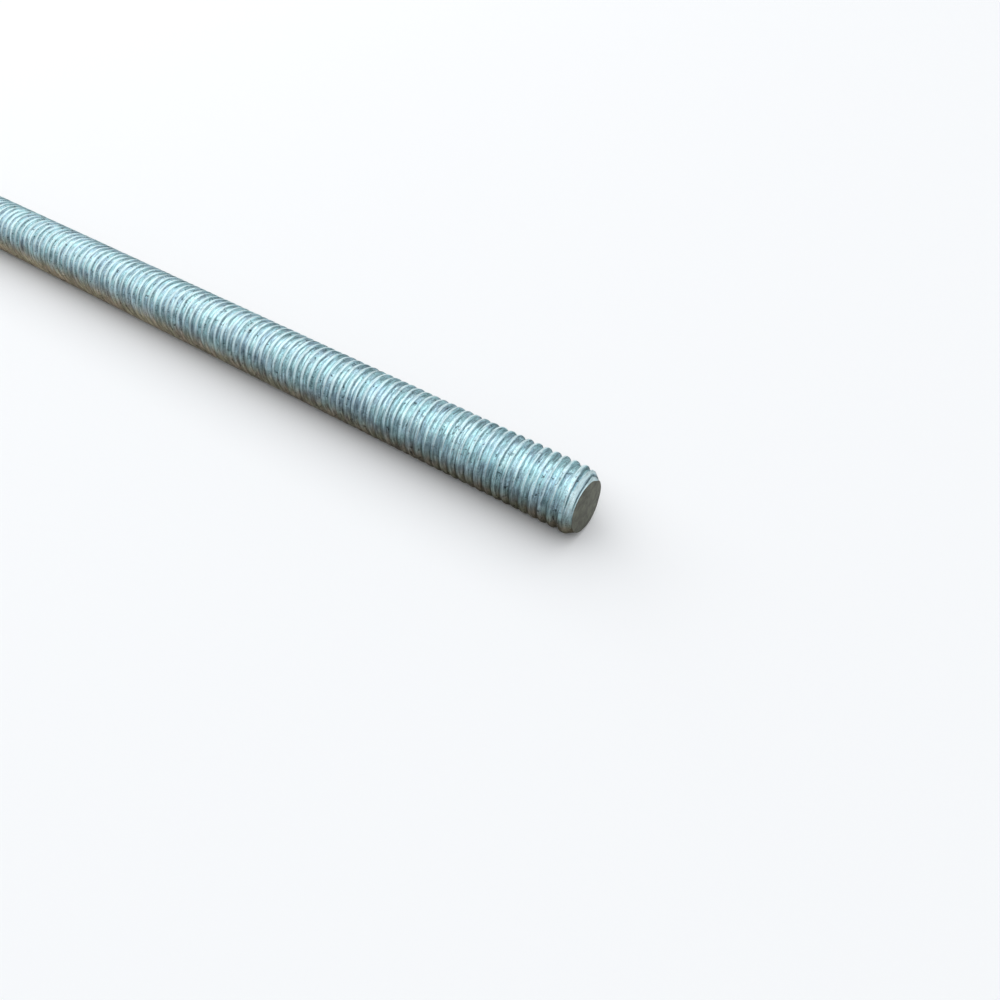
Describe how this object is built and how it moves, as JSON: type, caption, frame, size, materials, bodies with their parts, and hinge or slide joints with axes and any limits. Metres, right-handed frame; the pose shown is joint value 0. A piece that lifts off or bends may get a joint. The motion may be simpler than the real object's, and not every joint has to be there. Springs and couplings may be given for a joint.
{
  "type": "threaded rod",
  "caption": "Straight steel rod with a right-hand screw thread along its whole length and a chamfer at each end, clamped with nuts to tie, hang or space parts.",
  "frame": {"origin": "centre of the flat end face at the low end of X, on the rod's axis", "axes": "+X along the rod's axis, from the end face at the origin to the other end face"},
  "size_m": [0.2, 0.0098, 0.0098],
  "materials": {
    "zinc_plate": "satin zinc plating over rolled steel"
  },
  "bodies": {
    "root": {"threaded_rod": "zinc_plate"}
  },
  "joints": []
}
